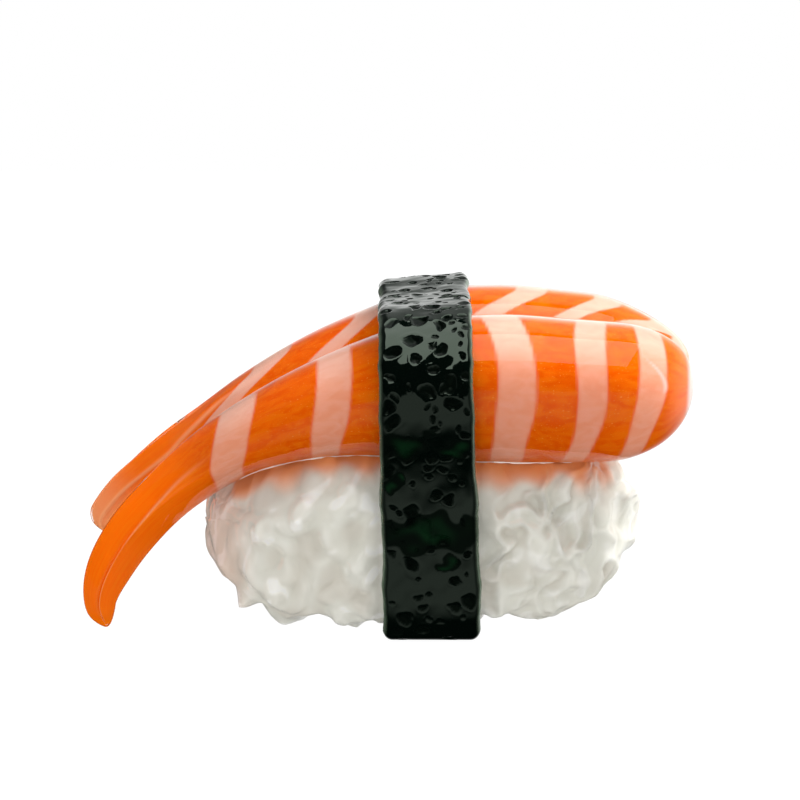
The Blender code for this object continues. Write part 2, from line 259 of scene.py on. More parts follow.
def skin(rings, values=()):
    """Points and faces of a closed skin over rings whose first and last have closed to a point.

    Values are arrays of rings x sides, or with a third axis, and come back as one row for each point.
    """
    count, sides = rings.shape[0] - 2, rings.shape[1]
    laid = []
    for value in (rings, *values):
        body = value[1:-1].reshape(count * sides, -1)
        laid.append(np.concatenate([body, value[0, :1].reshape(1, -1), value[-1, :1].reshape(1, -1)]))
    i, j = np.meshgrid(np.arange(count - 1), np.arange(sides), indexing="ij")
    k = (j + 1) % sides
    here, there = i * sides, (i + 1) * sides
    quads = np.stack([here + j, there + j, there + k, here + k], -1).reshape(-1, 4)
    j = np.arange(sides)
    k = (j + 1) % sides
    last = (count - 1) * sides
    fans = np.concatenate([
        np.stack([np.full(sides, count * sides), j, k], 1),
        np.stack([np.full(sides, count * sides + 1), last + k, last + j], 1),
    ])
    measures = [value[:, 0] if value.shape[1] == 1 else value for value in laid[1:]]
    return laid[0], quads.tolist() + fans.tolist(), *measures


CLEAR_OVER_BODY = 1.3
COLOUR_SHARE_OF_FIN = 0.92
CLEAR_AT_HEAD = 2.6
CLEAR_AT_TIP = 0.9
COLOUR_RINGS, COLOUR_SIDES = 360, 144

# Where the pink rings lie on the outer flank, and how wide they are there; how much nearer the head end
# they cross the crest; and how much nearer it they reach the underside.
NEAR_STRIPES = [
    (62.1, 6.4, 0.4, -4.2),
    (47.7, 7.0, 1.4, -2.6),
    (30.1, 9.1, -2.6, -1.4),
    (-13.2, 8.2, 0.8, -1.8),
    (-37.6, 8.8, 1.6, -1.2),
]
FAR_STRIPES = [
    (70.0, 5.6, -1.6, -3.0),
    (57.0, 6.2, -1.8, -2.0),
    (38.4, 7.4, -2.4, -2.0),
    (-2.0, 7.6, -2.0, -2.0),
    (-27.0, 9.4, -2.0, -2.0),
]
STRIPE_SWEEP = 14.4  # how far each trails towards the tail on its way from the crest down to the groove
STRIPE_SOFTNESS = 0.9
STRIPE_WOBBLE = 0.5
GIRTH = 110.0  # mm round a lobe, for the streaks
# Where the painted glint lies, a thin pale arc on the near lobe's head end:
HEAD_GLINT = (65.4, 72, 0.0056)  # furthest x, degrees round from the crest there, and how it bends away
HEAD_GLINT_WIDTH = 0.45
# How far the painted sheen on each head end reaches, which stands in for the bright clear glass there:
HEAD_SHEEN = {"near": (0.7, 2.4), "far": (3.0, 4.0)}  # from the tip: all pale to here, and none from here


def stripes(x, around, rows):
    """How pink each point is, from 0 to 1: the strongest of the rings there.

    around is the angle round the lobe in degrees, 0 at the crest, 90 on the outer flank, -90 in the groove
    and 180 below. A ring's middle is its x on the flank, plus a shift that grows as the square of the angle
    towards the crest and nearly so towards the underside, less a sweep on the side of the groove, and it
    wavers a little. A ring narrows by a fifth below, and its pink is a little thinner off the crest.
    """
    outward = np.where(around < -90, -around, around)
    swept = ease(-around, 0, 60) * ease(180 + around, 0, 90)
    pink = np.zeros_like(x)
    for place, width, at_crest, below in rows:
        middle = place + at_crest * np.clip(1 - outward / 90, 0, 1) ** 2 * ease(around, -90, -60)
        middle += below * np.clip((outward - 82) / 62, 0, 1.2) ** 1.2
        middle -= STRIPE_SWEEP * swept
        middle += STRIPE_WOBBLE * np.sin(outward / 21 + place)
        half = width / 2 * (1 + 0.05 * np.sin(outward / 33 + 2 * place) - 0.2 * ease(outward, 85, 125))
        pink = np.maximum(pink, ease(half - np.abs(x - middle), -STRIPE_SOFTNESS / 2, STRIPE_SOFTNESS / 2))
    return pink * (1 - 0.16 * ease(np.abs(around), 25, 75))


# Opaque orange glass with trailed pink: matt under the clear glass, and streaked along the pull.
orange, tree, shader = new_material("opaque_orange_glass", Roughness=0.6, Specular_IOR_Level=0.0)
pulled = add_node(tree, "Attribute", attribute_name="pulled").outputs["Vector"]
# Streaks are 1.5 mm across and some 12 mm long.
streak_at = add_node(tree, "Mapping", {"Vector": pulled, "Scale": (0.085, 0.65, 1.0)}).outputs[0]
streak = add_node(tree, "TexNoise", {"Vector": streak_at, "Scale": 1.0, "Detail": 3.0}).outputs[0]
# Mottling is 3 mm across and slants.
cloud_at = add_node(
    tree, "Mapping", {"Vector": pulled, "Scale": (0.2, 0.34, 1.0), "Rotation": (0.0, 0.0, 0.6)}
).outputs[0]
cloud = add_node(
    tree, "TexNoise", {"Vector": cloud_at, "Scale": 1.0, "Detail": 4.0, "Distortion": 0.8}
).outputs[0]
# Flecks are half a millimetre across.
fleck_at = add_node(tree, "Mapping", {"Vector": pulled, "Scale": (1.7, 2.4, 1.0)}).outputs[0]
fleck = add_node(tree, "TexNoise", {"Vector": fleck_at, "Scale": 1.0, "Detail": 1.0}).outputs[0]
tail_share, pale_tip_and_highlight_share, pink_share, cap_share = [
    add_node(tree, "Attribute", attribute_name=name).outputs["Fac"]
    for name in ("tail", "pale", "pink", "cap")
]
# Along a ring's edges, where pink is a quarter, the two colours have run into a redder line.
off_line = add_node(tree, "Math", {0: pink_share, 1: 0.25}, operation="SUBTRACT").outputs[0]
off_line = add_node(tree, "Math", {0: off_line}, operation="ABSOLUTE").outputs[0]
# Between which of its values each pattern comes in, and how strong it is at either.
strength = {}
for name, value, start, end, at_start, at_end in (
    ("streaks", streak, 0.38, 0.66, 0.0, 1.0),
    ("mottling", cloud, 0.4, 0.66, 0.0, 0.85),
    ("flecks", fleck, 0.66, 0.73, 0.0, 0.6),
    ("fin streaks", streak, 0.3, 0.75, 0.0, 1.0),
    ("pink clouds", cloud, 0.3, 0.7, 0.0, 1.0),
    ("red line", off_line, 0.1, 0.25, 0.4, 0.0),
):
    sockets = {"Value": value, "From Min": start, "From Max": end, "To Min": at_start, "To Max": at_end}
    strength[name] = add_node(tree, "MapRange", sockets, interpolation_type="SMOOTHSTEP").outputs[0]
# The colours from the bottom up. Fins and rings have two of their own each.
fin_colours = {0: strength["fin streaks"], 6: linear("#ff7806"), 7: linear("#ff860e")}
ring_colours = {0: strength["pink clouds"], 6: linear("#f4ae8e"), 7: linear("#f8bca0")}
colour = linear("#f27008")
for share, over in (
    (strength["streaks"], linear("#f2780c")),
    (strength["mottling"], linear("#ec5e00")),
    (strength["flecks"], linear("#f8a850")),
    (tail_share, add_node(tree, "Mix", fin_colours, data_type="RGBA").outputs[2]),
    # The far fin's pale tip, and a painted highlight along the edge of each leaf.
    (pale_tip_and_highlight_share, linear("#ffb480")),
    (pink_share, add_node(tree, "Mix", ring_colours, data_type="RGBA").outputs[2]),
    (strength["red line"], linear("#ee6c42")),
    # The painted sheen: pale highlights and the bright clear glass of the casing, painted on.
    (cap_share, linear("#eddcd3")),
):
    colour = add_node(tree, "Mix", {0: share, 6: colour, 7: over}, data_type="RGBA").outputs[2]
tree.links.new(colour, shader.inputs["Base Color"])
# The fins give off a little light of their own: a painted glow that stands in for light from behind
# shining through the thin glass.
glow = add_node(tree, "Math", {0: tail_share, 1: 0.07}, operation="MULTIPLY").outputs[0]
tree.links.new(glow, shader.inputs["Emission Strength"])
shader.inputs["Emission Color"].default_value = linear("#ff8020")

# How far along X the solids lie from the zero that everything here is drawn from.
prawn_low, prawn_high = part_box("shrimp")
prawn_centre = (prawn_low.x + prawn_high.x) / 2 / MM
drawn = [lobe(-1, NEAR_FIN, 120, 60)[0], lobe(1, FAR_FIN, 120, 60)[0]]
drawn_low = min(points[..., 0].min() for points in drawn)
drawn_high = max(points[..., 0].max() for points in drawn)
PLACE = np.array([prawn_centre - (drawn_low + drawn_high) / 2, 0.0, 0.0])

for side, fin, creases, name, rows in (
    (-1, NEAR_FIN, NEAR_CREASES, "near", NEAR_STRIPES),
    (1, FAR_FIN, FAR_CREASES, "far", FAR_STRIPES),
):
    points, distance, to_fin, edge = lobe(
        side, fin, COLOUR_RINGS, COLOUR_SIDES, CLEAR_OVER_BODY, COLOUR_SHARE_OF_FIN, CLEAR_AT_HEAD,
        CLEAR_AT_TIP, creases,
    )
    outward = round_from_crest(side, np.linspace(0, 2 * np.pi, COLOUR_SIDES, endpoint=False))
    outward = np.where(outward > 180, outward - 360, outward)[None] * np.ones_like(distance)[:, None]
    pink = stripes(points[..., 0], outward, rows)
    turned = np.linspace(0, 1, COLOUR_SIDES)[None] * GIRTH * np.ones_like(distance)[:, None]
    pulled = np.stack([distance[:, None] + 0 * turned, turned, side * 50 + 0 * turned], -1)
    tail = ease(to_fin, 0.2, 1.0)[:, None] + 0 * turned
    length = distance[-1]
    # The far fin pales towards its tip. The pale line along the edge of each leaf is a painted highlight.
    pale = (0.8 * ease(distance, length - 22, length - 3) * (side > 0))[:, None] + 0.85 * edge
    # The head end is painted pinkish white, lower down on the side that shows, and pink on the far lobe:
    # a painted sheen that stands in for the bright clear glass at that end.
    drop = points[..., 2] - points[:1, :1, 2]
    cap = 1 - ease(distance[:, None] - distance[0] + 0.16 * drop, *HEAD_SHEEN[name])
    if side > 0:
        pink, cap = np.maximum(pink, cap), 0 * cap
    # A thin pale line along the crest is painted too: a painted sheen for the edge of the casing,
    # through which the lobe is seen there.
    line = 0.2 + 0.6 * ease(points[..., 0], -30, 20)
    cap = np.maximum(cap, line * np.exp(-(((outward - 9 * side) / 6) ** 2)))
    # The rings are painted paler where they cross the crest: a painted highlight of the light from above.
    cap = np.maximum(cap, 0.3 * pink * (1 - ease(np.abs(outward), 20, 65)))
    if side < 0:
        # A painted glint: a thin pale arc in the head end.
        place, turn, bend = HEAD_GLINT
        glint_x = place - bend * (outward - turn) ** 2
        glint = np.exp(-(((points[..., 0] - glint_x) / HEAD_GLINT_WIDTH) ** 2))
        glint *= ease(outward, 40, 52) * (1 - ease(outward, 74, 82))
        cap = np.maximum(cap, 0.9 * glint)
    points, faces, pulled, pink, tail, pale, cap = skin(points, (pulled, pink, tail, pale, cap))
    piece = add_piece(
        f"shrimp_colour_{name}", points + PLACE, faces, orange,
        pulled=pulled, pink=pink, tail=tail, pale=pale, cap=cap,
    )
    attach(piece, "root")

# ---------------------------------------------------------------------------------------------
# Prawn, the casing: clear soda-lime glass gathered over the colour and tooled into one piece, so it
# is fire-polished and bright. It is thick at the head end and along the fins, where it shows as a rim.
# ---------------------------------------------------------------------------------------------

CASING_RINGS, CASING_SIDES = 300, 150
INSIDE = 0.15  # how far the bright skin stays inside the solid's facets
SKIN_SHARE_OF_FIN = 0.98
GLASS_IOR = 1.5

clear_glass, _, _ = new_material(
    "clear_soda_lime_glass", Roughness=0.0, Transmission_Weight=1.0, IOR=GLASS_IOR,
    Base_Color=linear("#ffffff"),
)

shell = (CASING_RINGS, CASING_SIDES, INSIDE, SKIN_SHARE_OF_FIN, INSIDE, INSIDE)
near_points, near_faces = skin(lobe(-1, NEAR_FIN, *shell, NEAR_CREASES)[0])
far_points, far_faces = skin(lobe(1, FAR_FIN, *shell, FAR_CREASES)[0])
casing = add_piece("shrimp_casing", near_points + PLACE, near_faces, clear_glass)
far_casing = add_piece("shrimp_casing_far", far_points + PLACE, far_faces, clear_glass)
union = casing.modifiers.new("union", "BOOLEAN")
union.operation = "UNION"
union.object = far_casing
union.solver = "MANIFOLD"
graph = bpy.context.evaluated_depsgraph_get()
joined = bpy.data.meshes.new_from_object(casing.evaluated_get(graph))
casing.modifiers.clear()
casing.data = joined
bpy.data.objects.remove(far_casing)
casing.data.shade_smooth()
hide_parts("shrimp")
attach(casing, "root")

# ---------------------------------------------------------------------------------------------
# Rice: a lump of white glass, its surface tooled into pressed grains, under a skin of clear glass that
# is thin at the head end and thick at the tail end and under the prawn, where an orange glow is painted on.
# ---------------------------------------------------------------------------------------------

RICE_MIDDLE = (7.6, 0.0, 25.0)
RICE_HALF = (52.3, 31.4, 23.6)  # half length, half width and half height
RICE_TILT = 0.022  # rise for each millimetre towards the head end
RICE_ROUNDNESS = 2.6  # the power of the lump from end to end, and next that of its section
RICE_SECTION_ROUNDNESS = 3.8
TAIL_GRAIN = (1.4, 4.7)  # half length and radius of a grain at the tail end
HEAD_GRAIN = (5.4, 3.5)
GRAIN_HEIGHT = 2.0
GRAINS = 205
GOLDEN_TURN = 2.39996
GRAIN_SEED = 7
# Where a face looks down, the relief's share is the first of these plus the normal's height, but at least
# the second.
UNDER_RELIEF = (1.65, 0.15)
BAND_CLEAR = 3.0  # distance from the band at which the relief has its full height
BAND_EDGES = (-2.4, 20.2)
BAND_FOOT_SHIFT = 1.7  # how much nearer the head end the band is at its foot

RICE_RINGS, RICE_SIDES = 280, 350
GRAIN_SOFTNESS = 0.8  # less runs the grains together into flatter tops
GRAIN_BEND = 2.2  # how far the grains are bent out of line
BEND_SEEDS = (11, 12, 13)
FOLD_HEIGHT = 2.9  # of the folds towards the head end
LUMP_HEIGHT = 1.15  # of the lumps towards the tail end
SWELL_HEIGHT = 1.1  # of the slow swells all over
TOOL_HEIGHT = 0.22  # of the marks that the tool left towards the tail end
# The orange glow under the prawn is painted light.
PRAWN_GLOW_REACH = 4.2  # how far below the prawn the orange glow reaches
RICE_LOWEST = 0.3
CLEAR_OVER_RICE = 0.5
CLEAR_TO_PRAWN = 2.2  # how much thicker the clear glass is at the tail end and under the prawn
# How far the lump's outline bulges or draws in, seen from the front and a little above, at degrees round
# from the head end; the cosine and sine of that view's height; and how sharply this is kept to the outline.
RICE_OUTLINE = [
    (-176, 0.4), (-164, 0.1), (-160, -0.9), (-156, 1.6), (-152, -2.2), (-148, 0.8), (-144, 1.5),
    (-140, -0.1), (-136, -2.7), (-132, -1.0), (-124, -0.6), (-120, 0.1), (-116, -1.6), (-112, -3.4),
    (-106, -1.1), (-100, 0.0), (-62, 0.3), (-57, -5.4), (-52, -4.4), (-48, -2.9), (-44, 0.9),
    (-40, 2.7), (-36, 3.4), (-32, 1.9), (-28, 1.2), (-24, 1.4), (-20, -0.7), (-16, -0.5), (-12, 0.0),
    (-8, 1.9), (-4, 1.4), (0, 1.7), (4, 1.7), (8, -1.7), (12, 0.4), (18, 0.0),
]
OUTLINE_VIEW = (0.97, 0.25)
OUTLINE_SPREAD = 0.5


def on_rice(aim):
    """Where rays from the lump's middle meet its plain surface, and the outward directions there.

    The surface is where the power sum of x, over its half length, and of the section is 1, the section
    being the power sum of y and z over theirs.
    """
    scaled = np.abs(aim) / RICE_HALF
    p, q = RICE_ROUNDNESS, RICE_SECTION_ROUNDNESS
    section = (scaled[:, 1] ** q + scaled[:, 2] ** q) ** (1 / q)
    out = (scaled[:, 0] ** p + section**p) ** (1 / p)
    slope = scaled ** [p - 1, q - 1, q - 1]
    slope[:, 1:] *= (np.maximum(section, 1e-9) ** (p - q))[:, None]
    normal = np.sign(aim) * slope / RICE_HALF
    return aim / out[:, None], normal / np.linalg.norm(normal, axis=1, keepdims=True)


def grain_places():
    """Middle, bar direction, half length and radius of each grain, as the solid has them.

    The grains follow a spiral from end to end of the lump, a golden turn apart, and each has a seeded
    turn of its own.
    """
    order = np.arange(GRAINS)
    along = 1 - (2 * order + 1) / GRAINS
    around = np.sqrt(1 - along**2)
    turn = GOLDEN_TURN * order
    ball = np.stack([along, around * np.cos(turn), around * np.sin(turn)], 1)
    middle, normal = on_rice(ball * RICE_HALF)
    helper = np.cross(normal, (0.3, 0.2, 0.93))
    helper /= np.linalg.norm(helper, axis=1, keepdims=True)
    twist = np.random.default_rng(GRAIN_SEED).uniform(0, np.pi, (GRAINS, 1))
    bar = np.cos(twist) * helper + np.sin(twist) * np.cross(normal, helper)
    to_head = np.clip(0.5 + middle[:, :1] / RICE_HALF[0], 0, 1)
    half_length, radius = (TAIL_GRAIN + (np.array(HEAD_GRAIN) - TAIL_GRAIN) * to_head).T
    return middle, bar, half_length, radius


def grain_relief(points):
    """Height of the pressed grains over each point: many short rounded bars, run softly into each other."""
    height = np.zeros(len(points))
    for middle, bar, half_length, radius in zip(*grain_places()):
        offset = points - middle
        along = np.clip(offset @ bar, -half_length, half_length)
        away = np.linalg.norm(offset - along[:, None] * bar, axis=1) / radius
        height += np.clip(1 - away**2, 0, 1) ** 2
    return GRAIN_HEIGHT * height / (height + GRAIN_SOFTNESS)


def waves(points, wavelength, count, seed):
    """A smooth uneven number of about 1 either way at each point: waves in many directions, summed."""
    rng = np.random.default_rng(seed)
    total = np.zeros(points.shape[:-1])
    for _ in range(count):
        direction = rng.normal(size=points.shape[-1])
        rate = 2 * np.pi / (wavelength * rng.uniform(0.7, 1.4))
        total += np.sin(points @ (direction / np.linalg.norm(direction)) * rate + rng.uniform(0, 2 * np.pi))
    return total / np.sqrt(count)


def folds(points, seed):
    """Height from 0 to 1 of thin crests, like flaps laid over each other, and how far in their lee it is.

    A crest runs where a bent wave field passes through 0. It falls off evenly on one side, as the distance
    from it, and steeply on the other, where its lee is.
    """
    bend = np.stack([waves(points, 9.0, 7, seed + turn) for turn in (1, 2, 3)], -1)
    field = waves(points + 1.9 * bend, 12.5, 9, seed)
    here = ease(waves(points, 15.0, 7, seed + 4), -1.2, 0.2)
    fall = np.clip(field / np.where(field > 0, 0.6, 1.1), -1, 1)
    lee = ease(field, 0.1, 0.4) * (1 - ease(field, 0.5, 1.1))
    return (1 - np.sqrt(fall**2 + 0.006)) * here, lee * here


def even_angles(width, height, power, start, end, count):
    """Angles at which a superellipse's points are an equal way apart along its outline."""
    fine = np.linspace(start, end, 20001)
    x, y = superellipse(fine, power)
    travelled = np.concatenate([[0], np.cumsum(np.hypot(np.diff(x * width), np.diff(y * height)))])
    return np.interp(np.linspace(0, travelled[-1], count), travelled, fine)


def underside_map(points, cell=0.5, beyond=200.0):
    """A function that reads the prawn's lowest height over any place in X and Y.

    It is the lowest over each square of a grid, averaged with its neighbours' over a bell 1 mm wide, and
    read straight between squares. Past the prawn's edge it is beyond.
    """
    # The grid starts at low and covers the whole prawn.
    low = np.array([-80.0, -50.0])
    shape = (340, 202)
    lowest = np.full(shape, beyond)
    index = np.round((points[:, :2] - low) / cell).astype(int)
    np.minimum.at(lowest, (index[:, 0], index[:, 1]), points[:, 2])
    met = (lowest < beyond).astype(float)
    total, weight = np.zeros(shape), np.zeros(shape)
    for i in range(-5, 6):
        for j in range(-5, 6):
            bell = np.exp(-(i * i + j * j) / 8)
            total += bell * np.roll(lowest * met, (i, j), (0, 1))
            weight += bell * np.roll(met, (i, j), (0, 1))
    lowest = np.where(weight > 0, total / np.maximum(weight, 1e-9), beyond)

    def read(x, y):
        u = np.clip((x - low[0]) / cell, 0, shape[0] - 1.001)
        v = np.clip((y - low[1]) / cell, 0, shape[1] - 1.001)
        i, j = u.astype(int), v.astype(int)
        s, t = u - i, v - j
        return (lowest[i, j] * (1 - s) * (1 - t) + lowest[i + 1, j] * s * (1 - t)
                + lowest[i, j + 1] * (1 - s) * t + lowest[i + 1, j + 1] * s * t)

    return read


under_prawn = underside_map(np.concatenate([
    lobe(side, fin, 700, 400)[0].reshape(-1, 3) for side, fin in ((-1, NEAR_FIN), (1, FAR_FIN))
]))


def rice_surface(inset, room, bead, bead_reach):
    """Points of the lump, rings x sides x 3 from the head end, and three measures of each of them.

    The plain surface is raised by the grains, which slow waves bend, and drawn in by inset, a function of
    its points. Towards the head end the grains run together into folds, and towards the tail end lumps
    swell up among them. Whatever rises above the prawn's underside, less room, is pressed down to it, and
    bead swells the last millimetres below it outwards, over bead_reach. The measures are how far a point
    lies below the prawn, its share of whiter glass and painted highlight on crests and lumps, and its
    share of painted shade in hollows.
    """
    along = even_angles(RICE_HALF[0], RICE_HALF[1], RICE_ROUNDNESS, 0, np.pi, RICE_RINGS)
    around = even_angles(
        RICE_HALF[1], RICE_HALF[2], RICE_SECTION_ROUNDNESS, 0, 2 * np.pi, RICE_SIDES + 1
    )[:-1]
    x, size = superellipse(along, RICE_ROUNDNESS)
    y, z = superellipse(around, RICE_SECTION_ROUNDNESS)
    size = size.copy()
    size[0] = size[-1] = 1e-6
    aim = np.stack([
        x[:, None] * RICE_HALF[0] + 0 * y,
        size[:, None] * y * RICE_HALF[1],
        size[:, None] * z * RICE_HALF[2],
    ], -1).reshape(-1, 3)
    base, normal = on_rice(aim)
    bend = np.stack([waves(base, 15.0, 8, seed) for seed in BEND_SEEDS], -1)
    relief = grain_relief(base + GRAIN_BEND * bend)
    to_head = ease(base[:, 0], -4, 16)
    level, height = OUTLINE_VIEW
    seen_z = level * base[:, 2] + height * base[:, 1]
    on_outline = np.exp(-(((height * normal[:, 2] - level * normal[:, 1]) / OUTLINE_SPREAD) ** 2))
    crests, lee = folds(base, 51)
    others, _ = folds(base, 61)
    crests = np.maximum(crests, 0.75 * others) * (1 - 0.7 * on_outline)
    lumps = np.clip(np.exp(waves(base, 10.0, 9, 81)), 0, 2.6)
    shine = waves(base, 5.5, 12, 82)
    relief += (FOLD_HEIGHT * crests - 0.6 * relief) * to_head + LUMP_HEIGHT * lumps * (1 - to_head)
    relief += SWELL_HEIGHT * waves(base, 17.0, 9, 91) * (0.4 + 0.6 * to_head)
    relief += TOOL_HEIGHT * waves(base, 4.2, 12, 96) * (1 - to_head) * (1 - on_outline)
    relief *= 1 - 0.6 * ease(-base[:, 0], 36, 50)
    # Crests are whitest, partly whiter glass and partly painted highlight; spots on the tops of lumps are
    # painted highlights. The lees of crests and the ways between lumps get painted shade.
    crest = ease(crests, 0.9, 0.98) * to_head
    bright = ease(shine, 0.25, 0.6) * ease(lumps, 0.8, 1.25)
    crest = np.maximum(0.75 * crest, bright * (1 - 0.5 * to_head))
    hollow = 0.65 * lee * to_head + 0.7 * ease(-lumps, -0.8, -0.3) * (1 - to_head)
    outside = np.maximum(
        BAND_EDGES[0] - base[:, 0] - RICE_MIDDLE[0],
        base[:, 0] + RICE_MIDDLE[0] - BAND_EDGES[1] - BAND_FOOT_SHIFT,
    )
    upright, least = UNDER_RELIEF
    relief *= np.clip(upright + normal[:, 2], least, 1)
    seen_turn = np.degrees(np.arctan2(seen_z, base[:, 0]))
    relief += on_outline * np.interp(seen_turn, *np.array(RICE_OUTLINE).T)
    relief *= np.clip(outside / BAND_CLEAR, 0, 1)
    points = base + normal * (relief - inset(base))[:, None]
    points[:, 2] += RICE_TILT * points[:, 0]
    points += RICE_MIDDLE
    top = under_prawn(points[:, 0], points[:, 1]) - room * ease(points[:, 0], -44, -36)
    below = top - points[:, 2]
    flat = normal[:, :2] / np.maximum(np.linalg.norm(normal[:, :2], axis=1, keepdims=True), 0.3)
    points[:, :2] += flat * (bead * np.exp(-((np.clip(below, 0, 99) / bead_reach) ** 2)))[:, None]
    points[:, 2] = np.clip(points[:, 2], RICE_LOWEST, top)
    shape = (RICE_RINGS, RICE_SIDES)
    return points.reshape(*shape, 3), below.reshape(shape), crest.reshape(shape), hollow.reshape(shape)


def clear_over_rice(base):
    """Thickness of the clear glass: thin at the head end, thick at the tail end and towards the prawn."""
    to_tail = ease(-base[:, 0], 10, 50)
    upper = ease(base[:, 2], 0, 20)
    thickness = CLEAR_OVER_RICE + 0.5 * to_tail + CLEAR_TO_PRAWN * to_tail * upper
    return thickness + CLEAR_TO_PRAWN * ease(-base[:, 0], 36, 51) * ease(base[:, 2], -16, 4)


# Milky glass, matt under the clear glass. It gives off a faint light in its own colours: a painted glow
# that stands in for light scattered through the white glass, and lifts its shade.
white_glass, tree, shader = new_material(
    "opaque_white_glass", Roughness=0.5, Specular_IOR_Level=0.0, Emission_Strength=0.1,
)
place_in = add_node(tree, "TexCoord").outputs["Object"]
# Clouds of thinner white, 8 mm across.
cloud = add_node(tree, "TexNoise", {"Vector": place_in, "Scale": 1 / 0.008, "Detail": 2.0}).outputs[0]
thin = add_node(
    tree, "MapRange", {"Value": cloud, "From Min": 0.35, "From Max": 0.7}, interpolation_type="SMOOTHSTEP"
).outputs[0]
# It is whitest along the crests, partly whiter glass and partly painted highlight, and painted highlights
# lie on the tops of lumps. The hollows are greyer and warmer, which is painted shade. Towards the prawn
# and at the tail end an orange glow is painted on it, for the prawn's orange seen through the clear glass
# and bounced on to it.
crest_and_highlight_share, painted_shade_share, blush_share = [
    add_node(tree, "Attribute", attribute_name=name).outputs["Fac"]
    for name in ("crest", "hollow", "blush")
]
white = linear("#eeede4")
for share, over in (
    (thin, "#e8e6dc"), (crest_and_highlight_share, "#fdfcf7"), (painted_shade_share, "#e0dbd0"), (blush_share, "#ffa264"),
):
    white = add_node(tree, "Mix", {0: share, 6: white, 7: linear(over)}, data_type="RGBA").outputs[2]
tree.links.new(white, shader.inputs["Base Color"])
# The painted glow is in the same colours.
tree.links.new(white, shader.inputs["Emission Color"])

rings, below, crest, hollow = rice_surface(clear_over_rice, room=0.6, bead=-1.6, bead_reach=3.0)
# A painted orange glow below the prawn, for its orange seen through the clear glass and bounced on to the
# white, and a weaker one towards the tail end.
blush_reach = PRAWN_GLOW_REACH * (1 + 0.3 * waves(rings, 9.0, 8, 95))
blush = np.exp(-((np.clip(below, 0, 99) / blush_reach) ** 3)) * (below < 12)
blush = np.maximum(blush, 0.2 * ease(RICE_MIDDLE[0] - rings[..., 0], 39, 49))
points, faces, blush, crest, hollow = skin(rings, (blush, crest, hollow))
rice_white = add_piece(
    "rice_white", points + PLACE, faces, white_glass, blush=blush, crest=crest, hollow=hollow
)
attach(rice_white, "root")

# The skin reaches into the prawn, so that no gap shows between the two.
INTO_PRAWN = 3.0
rings, below, _, _ = rice_surface(lambda base: 0.0 * base[:, 0], room=-INTO_PRAWN, bead=0.5, bead_reach=2.2)
points, faces = skin(rings)
bright_skin, _, _ = new_material(
    "fire_polished_clear_glass", Roughness=0.0, Transmission_Weight=1.0, IOR=GLASS_IOR,
    Specular_IOR_Level=1.0, Base_Color=linear("#ffffff"),
)
rice_casing = add_piece("rice_casing", points + PLACE, faces, bright_skin)
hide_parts("rice")
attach(rice_casing, "root")

# ---------------------------------------------------------------------------------------------
# The seam: a thin pale tube runs along both sides under the prawn, where the casing meets the rice.
# It is a painted highlight, standing in for the bright line that light draws along that seam.
# ---------------------------------------------------------------------------------------------

SEAM_ENDS = (-38.0, 51.0)  # x
SEAM_RADIUS = 0.27
SEAM_SIDES = 12


def tube(path, radii, sides):
    """Rings of a round tube along a path: circles of the given radii, square to the path's direction."""
    ahead = np.gradient(path, axis=0)
    ahead /= np.linalg.norm(ahead, axis=1, keepdims=True)
    across = np.cross(ahead, (0.0, 0.0, 1.0))
    across /= np.linalg.norm(across, axis=1, keepdims=True)
    up = np.cross(across, ahead)
    turn = np.linspace(0, 2 * np.pi, sides, endpoint=False)[:, None]
    circle = across[:, None] * np.cos(turn) + up[:, None] * np.sin(turn)
    return path[:, None] + circle * radii[:, None, None]


# Pale glossy glass for the painted highlight along the seam.
highlight_lip_glass, _, _ = new_material("painted_highlight_lip", Roughness=0.12, Base_Color=linear("#fff2e8"))
for name, turns in (("near", range(RICE_SIDES // 4, 3 * RICE_SIDES // 4)),
                    ("far", range(RICE_SIDES // 4, -RICE_SIDES // 4, -1))):
    # The first place from the bottom up where the rice's skin comes level with the prawn's underside.
    upward = list(turns)[::-1]
    met = np.argmax(below[:, upward] < INTO_PRAWN, axis=1)
    path = rings[np.arange(RICE_RINGS), np.array(upward)[met]]
    path = path[(met > 0) & (path[:, 0] > SEAM_ENDS[0]) & (path[:, 0] < SEAM_ENDS[1])]
    bell = np.array([1.0, 3.0, 5.0, 6.0, 5.0, 3.0, 1.0])
    path = np.stack([np.convolve(path[:, axis], bell / bell.sum(), "valid") for axis in range(3)], 1)
    ends = np.minimum(path[:, 0] - path[:, 0].min(), path[:, 0].max() - path[:, 0])
    radii = SEAM_RADIUS * np.sqrt(ease(ends, -0.1, 8.0)) * (1 + 0.35 * waves(path, 9.0, 6, 71))
    radii[[0, -1]] = 0.0
    points, faces = skin(tube(path, radii, SEAM_SIDES))
    lip = add_piece(f"seam_highlight_lip_{name}", points + PLACE, faces, highlight_lip_glass)
    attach(lip, "root")

# ---------------------------------------------------------------------------------------------
# Seaweed band: a ribbon of nearly black green glass wrapped round prawn and rice while soft. Its face
# was pricked and torn into pits, then fire-polished, and its thin edges let green light through.
# ---------------------------------------------------------------------------------------------

